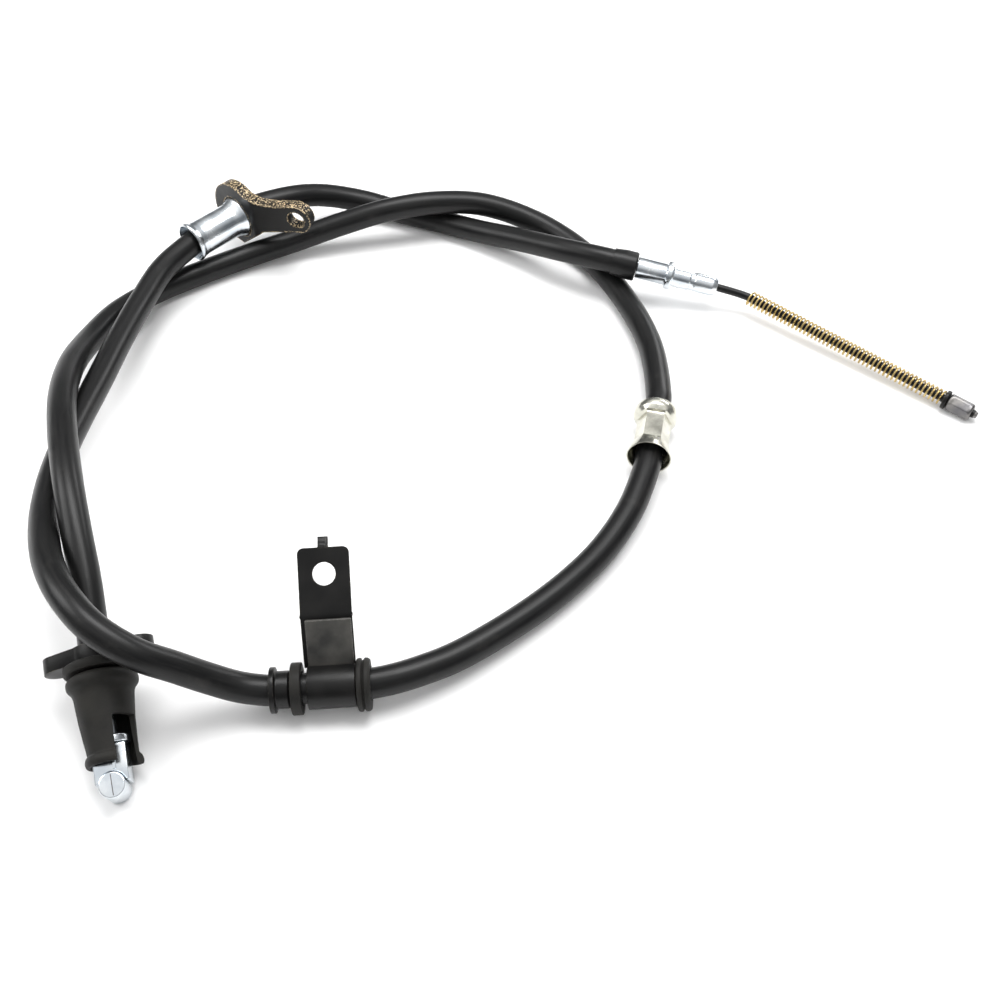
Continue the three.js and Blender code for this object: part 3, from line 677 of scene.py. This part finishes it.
# Strap bracket: rolled eye and a bent leaf with a bolt hole, then the second leaf on its front
def bracket():
    m = frame_of(BRACKET)
    thick, eye_r, eye_from, eye_length, width = 0.0018, 0.0076, 0.0131, 0.0168, 0.018
    slope_low, slope_high, low_length, high_length = radians(55), radians(36.5), 0.019, 0.0235
    root = Vector((eye_r * 0.8, eye_r * 0.45))
    middle = eye_from + eye_length - width / 2
    bend_r = 0.0022
    turn = slope_low - slope_high
    start_bend = low_length - bend_r * tan(turn / 2)

    def spine(u):
        """Point and direction on the front face at length u from the eye."""
        if u <= start_bend:
            return root + Vector((cos(slope_low), sin(slope_low))) * u, slope_low
        corner = root + Vector((cos(slope_low), sin(slope_low))) * start_bend
        arc_length = bend_r * turn
        done = min(1.0, (u - start_bend) / arc_length)
        centre = corner + Vector((sin(slope_low), -cos(slope_low))) * bend_r
        angle = slope_low - turn * done
        point = centre + Vector((-sin(angle), cos(angle))) * bend_r
        rest = max(0.0, u - start_bend - arc_length)
        return point + Vector((cos(angle), sin(angle))) * rest, angle

    def place(u, w, depth):
        p, angle = spine(u)
        p = p + Vector((-sin(angle), cos(angle))) * (depth - thick)
        return m @ Vector((p.x, p.y, middle + w))

    full = start_bend + bend_r * turn + high_length
    half = width / 2
    corner = 0.0022
    bulge = [(start_bend - 0.0006, half), (start_bend + 0.0002, half + 0.0003), (start_bend + 0.0012, half)]
    outline = (
        [(0, half), (0, -half)]
        + [(u, -w) for u, w in bulge]
        + arc(full - corner, -half + corner, corner, -90, 0, 6)
        + [(full, -0.002), (full + 0.0002, -0.0018), (full + 0.0002, 0.0018), (full, 0.002)]
        + arc(full - corner, half - corner, corner, 0, 90, 6)
        + bulge[::-1]
    )
    hole_at = start_bend + bend_r * turn + 0.0142
    hole = arc(hole_at, 0, 0.00405, 360, 0, 48)[:-1]
    strap = sheet_piece("strap", outline, [hole], place, thick, STRAP_BLACK, step=0.001, edge=0.00045)
    rolled = ring([(eye_r, 0), (eye_r, eye_length)], eye_r - thick)
    eye = lathe("eye", (on(BRACKET, eye_from), BRACKET[1]), rolled, STRAP_BLACK)

    def tab_place(u, w, depth):
        p, angle = spine(full)
        angle -= min(1.0, u / 0.0022) * 0.5
        p = p + Vector((cos(angle), sin(angle))) * u + Vector((-sin(angle), cos(angle))) * (depth - thick)
        return m @ Vector((p.x, p.y, middle + w))

    tab_outline = [(-0.0004, -0.0018), (0.0044, -0.0018), (0.0044, 0.0018), (-0.0004, 0.0018)]
    tab = sheet_piece("tab", tab_outline, [], tab_place, thick, STRAP_BLACK, step=0.0006, edge=0.0004)
    settle(join_meshes("bracket", [strap, eye, tab]), "base", ["bracket"])

    def leaf_place(u, w, depth):
        p, angle = spine(u + 0.0008)
        p = p + Vector((-sin(angle), cos(angle))) * (depth + 0.0001)
        return m @ Vector((p.x, p.y, middle + w + 0.0006))

    leaf_outline = [(0, -0.008), (0.0172, -0.008), (0.0172, 0.008), (0, 0.008)]
    # The leaf's grey is painted reflection of the overhead light on black-painted steel.
    leaf = sheet_piece(
        "bracket_leaf", leaf_outline, [], leaf_place, 0.0014, LEAF_PAINTED_LIT, step=0.0014, edge=0.00035
    )
    settle(leaf, "base", ["bracket_leaf"])

    rings(eye_from + eye_length + 0.0003)


def rings(right_from):
    """The crimped stop and the two rubber rings that hold the eye in its place."""
    stop = [
        (0.0081, 0), (0.0081, 0.0018), (0.0068, 0.0021), (0.0066, 0.0025), (0.0066, 0.0064),
        (0.0061, 0.0071),
    ]
    made = lathe("stop_ring", BRACKET, ring(stop, GRIP_R, 0.00025), STRAP_BLACK)
    settle(made, "base", ["stop_ring"])
    left = [(0.0092, 0.0074), (0.0092, 0.0111)]
    made = lathe("washer_left", BRACKET, ring(left, GRIP_R, 0.0005), RUBBER)
    settle(made, "base", ["washer_left"])
    right = [
        (0.0089, 0), (0.0094, 0.0007), (0.0094, 0.0016), (0.0084, 0.0022), (0.0094, 0.0029),
        (0.0094, 0.0039), (0.0088, 0.0048),
    ]
    grooved = ring([(r, right_from + h) for r, h in right], GRIP_R, 0.0003)
    settle(lathe("washer_right", BRACKET, grooved, RUBBER), "base", ["washer_right"])


# Lever end
def flange():
    m = frame_of(LEVER)
    roll = radians(10)
    reach, ear, hub = 0.0142, 0.0052, 0.0095
    outline = (
        arc(reach, 0, ear, -75, 75, 18)
        + arc(0, 0, hub, 52, 128, 18)
        + arc(-reach, 0, ear, 105, 255, 18)
        + arc(0, 0, hub, 232, 308, 18)
    )
    holes = [arc(0, 0, 0.0047, 360, 0, 32)[:-1]]

    def place(u, w, depth):
        x, y = u * cos(roll) - w * sin(roll), u * sin(roll) + w * cos(roll)
        return m @ Vector((x, y, depth - 0.0055))

    made = sheet_piece("flange_plate", outline, holes, place, 0.0055, STRAP_BLACK, edge=0.0015)
    settle(made, "base", ["flange_plate"])
    guide = ring([(0.0044, -0.0054), (0.0044, 0.015)], 0.00335)
    settle(lathe("guide_tube", LEVER, guide, STEEL, 40), "base", ["guide_tube"])
    seat = ring([(0.0122, 0.0003), (0.0126, 0.0012), (0.0126, 0.0026), (0.012, 0.0036)], 0.00475, 0.0006)
    settle(lathe("boot_seat", LEVER, seat, RUBBER), "base", ["boot_seat"])


def boot():
    """Turned shell: a beaded crown, then a thinner skirt that is open on one side down to the foot."""
    neck, top, inner = 0.00475, 0.0202, 0.00745
    crown_line = [
        (inner, top), (0.0079, 0.0126), (neck, 0.0104), (neck, 0.004), (0.0104, 0.0042), (0.0121, 0.0056),
        (0.0121, 0.0081), (0.0106, 0.0098), (0.0101, 0.0114), (0.0093, top),
    ]
    skirt_line = [
        (0.0093, top), (0.0077, 0.0322), (0.0084, 0.0329), (0.0088, 0.0346), (0.0083, 0.0362),
        (0.0069, 0.0362), (0.0069, 0.0318), (inner, top),
    ]
    low, high = radians(7), radians(69)

    def splay(a, r, h):
        """The narrow side of the skirt, beside the opening, leans outwards."""
        drop = max(0, (h - top) / 0.016)
        near = max(0, 1 - abs((a + pi) % (2 * pi) - pi) / radians(55))
        return r + 0.0019 * drop * near, h + (0.0016 * near - 0.0006) * drop

    crown = lathe("crown", LEVER, fillet(crown_line, 0.001, closed=False, steps=4), RUBBER, 90)
    skirt_soft = fillet(skirt_line, 0.0006, closed=False)
    skirt = lathe("skirt", LEVER, skirt_soft, RUBBER, 84, splay, turn=(high, low + 2 * pi))
    settle(join_meshes("boot", [crown, skirt]), "base", ["boot"])


def lever_end():
    rod = fillet([(0, -0.0039), (0.003, -0.0039), (0.003, 0.026), (0, 0.026)], 0.0003, closed=False)
    settle(lathe("pull_rod", LEVER, rod, ZINC, 40), "lever_end", ["pull_rod"])
    collar = fillet([(0, 0.0263), (0.0067, 0.0263), (0.0067, 0.029), (0, 0.029)], 0.0006, closed=False)
    settle(lathe("rod_collar", LEVER, collar, ZINC, 64), "lever_end", ["rod_collar"])
    m = frame_of(LEVER)
    low, high, half, half_wide = 0.0293, 0.0422, 0.0047, 0.0056
    pin_r, pin_at, pin_half = 0.0044, 0.0431, 0.0062
    gap = pin_r + 0.0003
    saddle = [(pin_at - gap * cos(radians(t)), gap * sin(radians(t))) for t in range(76, -77, -8)]
    outline = (
        [(low, -half_wide), (low, half_wide), (high, half_wide)]
        + [p for p in saddle if p[0] < high]
        + [(high, -half_wide)]
    )

    def place(u, w, depth):
        return m @ Vector((w, depth - half, u))

    def rib_place(u, w, depth):
        return m @ Vector((w, half - 0.0001 + depth, u))

    def slot_place(u, w, depth):
        return m @ Vector((w, pin_half + depth - 0.00005, pin_at + u))

    block = sheet_piece("block", outline, [], place, 2 * half, ZINC, step=0.002, edge=0.0015)
    rib_outline = [(0.0303, 0.0008), (0.0303, 0.0019), (0.0378, 0.0019), (0.0378, 0.0008)]
    rib = sheet_piece("rib", rib_outline, [], rib_place, 0.00045, ZINC, edge=0.0002)
    settle(join_meshes("fitting_body", [block, rib]), "lever_end", ["fitting_body"])
    across = (on(LEVER, pin_at), m.to_3x3() @ Vector((0, 1, 0)))
    pin = fillet([(0, -pin_half), (pin_r, -pin_half), (pin_r, pin_half), (0, pin_half)], 0.0005, closed=False)
    slot_outline = [(-0.0036, -0.00016), (0.0036, 0.00004), (0.0036, 0.00036), (-0.0036, 0.00016)]
    slot = sheet_piece("slot", slot_outline, [], slot_place, 0.0001, STEEL, edge=0.00003)
    made = join_meshes("cross_pin", [lathe("pin", across, pin, ZINC, 64), slot])
    settle(made, "lever_end", ["cross_pin"])


# Brake end
def brake_end():
    swollen = [(0.006, -0.0102), (0.0062, -0.0078), (0.0066, -0.005), (0.0066, 0.0004), (0.0062, 0.001)]
    made = lathe("jacket_cuff", TIP, ring(swollen, GRIP_R, 0.0006), JACKET)
    settle(made, "base", ["jacket_cuff"])
    steps = [
        (0.0049, 0.0013), (0.0049, 0.0148), (0.0061, 0.015), (0.0064, 0.0156), (0.0064, 0.0174),
        (0.0061, 0.018), (0.0047, 0.0182), (0.0047, 0.026), (0.0042, 0.0263), (0.0042, 0.0284),
        (0.0045, 0.0287), (0.0045, 0.0368), (0.0035, 0.039),
    ]
    made = lathe("end_ferrule", TIP, ring(steps, 0.00215, 0.0003), ZINC)
    settle(made, "base", ["end_ferrule"])
    bare_core()
    washer = ring([(0.0042, 0.0983), (0.0042, 0.0997), (0.0034, 0.1001)], 0.0021, 0.0003)
    made = lathe("spring_washer", SPRING, washer, STRAP_BLACK, 48)
    settle(made, "brake_end", ["spring_washer"])

    def crimp(a, r, h):
        """Six pressed flats round the barrel's middle."""
        if r < 0.003:
            return r, h
        off = (a + pi / 6) % (pi / 3) - pi / 6
        deep = max(0, 1 - abs(h - 0.1057) / 0.0048)
        return r + (min(0.00345 / cos(off), 0.0039) - r) * min(1, deep * 3), h

    barrel = [
        (0.0034, 0.1004), (0.00385, 0.1012), (0.00385, 0.1022), (0.00385, 0.1092), (0.00385, 0.1102),
        (0.0032, 0.111),
    ]
    made = lathe("crimp_barrel", SPRING, ring(barrel, 0.0021, 0.0003), STEEL, 72, crimp, 25)
    settle(made, "brake_end", ["crimp_barrel"])
    nub = fillet([(0, 0.1115), (0.0017, 0.1115), (0.0013, 0.1134), (0, 0.1136)], 0.0003, closed=False)
    settle(lathe("wire_nub", SPRING, nub, STEEL, 24), "brake_end", ["wire_nub"])


def bare_core():
    """The rope from the ferrule to the spring, and the length inside the spring."""
    points = [on(TIP, h) for h in (0.0203, 0.03, 0.0395)] + [on(SPRING, h) for h in (-0.0005, 0.005, 0.012)]
    core = tube("core_bend", smooth_line(points, 0.001), CORE_R, 20, CORE_BLACK)
    settle(core, "base", ["core_bend"])
    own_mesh(core)
    tip = tube("core_tip", [on(SPRING, 0.0123 + 0.004 * i) for i in range(26)], CORE_R, 16, CORE_BLACK)
    settle(tip, "brake_end", ["core_tip"])


# Spring: one wire wound by Geometry Nodes
def spring_tree():
    tree = bpy.data.node_groups.new("wound_spring", "GeometryNodeTree")
    face = tree.interface
    face.new_socket("Geometry", in_out="INPUT", socket_type="NodeSocketGeometry")
    for label, kind, value in (
        ("Turns", "NodeSocketFloat", 49.0),
        ("Coil Radius", "NodeSocketFloat", 0.00308),
        ("Length", "NodeSocketFloat", 0.0972),
        ("Wire Radius", "NodeSocketFloat", 0.00043),
        ("Wire Material", "NodeSocketMaterial", None),
    ):
        socket = face.new_socket(label, in_out="INPUT", socket_type=kind)
        if value is not None:
            socket.default_value = value
    face.new_socket("Geometry", in_out="OUTPUT", socket_type="NodeSocketGeometry")
    enter, leave = tree.nodes.new("NodeGroupInput"), tree.nodes.new("NodeGroupOutput")
    link = tree.links.new
    coil = tree.nodes.new("GeometryNodeCurveSpiral")
    coil.inputs["Resolution"].default_value = 40
    link(enter.outputs["Turns"], coil.inputs["Rotations"])
    link(enter.outputs["Coil Radius"], coil.inputs["Start Radius"])
    link(enter.outputs["Coil Radius"], coil.inputs["End Radius"])
    link(enter.outputs["Length"], coil.inputs["Height"])
    wire = tree.nodes.new("GeometryNodeCurvePrimitiveCircle")
    wire.inputs["Resolution"].default_value = 10
    link(enter.outputs["Wire Radius"], wire.inputs["Radius"])
    sweep = tree.nodes.new("GeometryNodeCurveToMesh")
    sweep.inputs["Fill Caps"].default_value = True
    link(coil.outputs[0], sweep.inputs["Curve"])
    link(wire.outputs["Curve"], sweep.inputs["Profile Curve"])
    real = tree.nodes.new("GeometryNodeRealizeInstances")
    link(sweep.outputs["Mesh"], real.inputs["Geometry"])
    paint = tree.nodes.new("GeometryNodeSetMaterial")
    link(real.outputs["Geometry"], paint.inputs["Geometry"])
    link(enter.outputs["Wire Material"], paint.inputs["Material"])
    link(paint.outputs["Geometry"], leave.inputs["Geometry"])
    return tree


def spring():
    tree = spring_tree()
    obj = new_object("spring", [(0, 0, 0)], [], GOLD)
    coils = obj.modifiers.new("coils", "NODES")
    coils.node_group = tree
    for socket in tree.interface.items_tree:
        if socket.item_type == "SOCKET" and socket.in_out == "INPUT" and socket.name == "Wire Material":
            coils[socket.identifier] = GOLD
    obj = plain(obj)
    m = frame_of((on(SPRING, 0.0004), SPRING[1]))
    obj.data.transform(m)
    obj.data.shade_smooth()
    settle(obj, "base", ["spring"])
    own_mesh(obj)


mid_ferrule()
sleeve()
bracket()
flange()
boot()
lever_end()
brake_end()
spring()

# Floor and light
PAPER, _, paper_shader = material("floor", roughness=0.9, specular=0.1)
paper_shader.inputs["Base Color"].default_value = (0.93, 0.93, 0.93, 1)
floor = new_object("floor", [(-3, -3, 0), (3, -3, 0), (3, 3, 0), (-3, 3, 0)], [(0, 1, 2, 3)], PAPER)


def light(name, where, target, size, power, colour=(1, 1, 1)):
    data = bpy.data.lights.new(name, "AREA")
    data.shape = "RECTANGLE"
    data.size, data.size_y = size
    data.energy = power
    data.color = colour
    lamp = bpy.data.objects.new(name, data)
    bpy.context.collection.objects.link(lamp)
    lamp.location = where
    lamp.rotation_euler = (Vector(target) - Vector(where)).to_track_quat("-Z", "Y").to_euler()
    return lamp


light("overhead", (0.1, 0.25, 1.1), (0, 0, 0), (0.9, 0.5), 11)
light("left", (-0.9, 0.1, 0.7), (0, 0, 0), (0.5, 0.6), 5)
light("back_right", (0.7, 0.9, 0.5), (0, 0, 0), (0.6, 0.3), 4)

world = bpy.data.worlds.new("world")
bpy.context.scene.world = world
world.use_nodes = True
sky = world.node_tree
even = sky.nodes["Background"]
even.inputs["Color"].default_value = (1, 1, 1, 1)
even.inputs["Strength"].default_value = 0.72
room = node(sky, "ShaderNodeBackground")
where = node(sky, "ShaderNodeTexCoord")
parts = node(sky, "ShaderNodeSeparateXYZ")
sky.links.new(where.outputs["Generated"], parts.inputs[0])
height = ramp(sky, parts.outputs["Z"], 0.42, 0.92, 0, 1)
sky.links.new(colour_mix(sky, height, (0.2, 0.205, 0.21), (1.0, 1.0, 1.0)), room.inputs["Color"])
rays = node(sky, "ShaderNodeLightPath")
choice = node(sky, "ShaderNodeMixShader")
sky.links.new(rays.outputs["Is Glossy Ray"], choice.inputs["Fac"])
sky.links.new(even.outputs[0], choice.inputs[1])
sky.links.new(room.outputs[0], choice.inputs[2])
sky.links.new(choice.outputs[0], sky.nodes["World Output"].inputs["Surface"])
bpy.context.scene.view_settings.view_transform = "Standard"
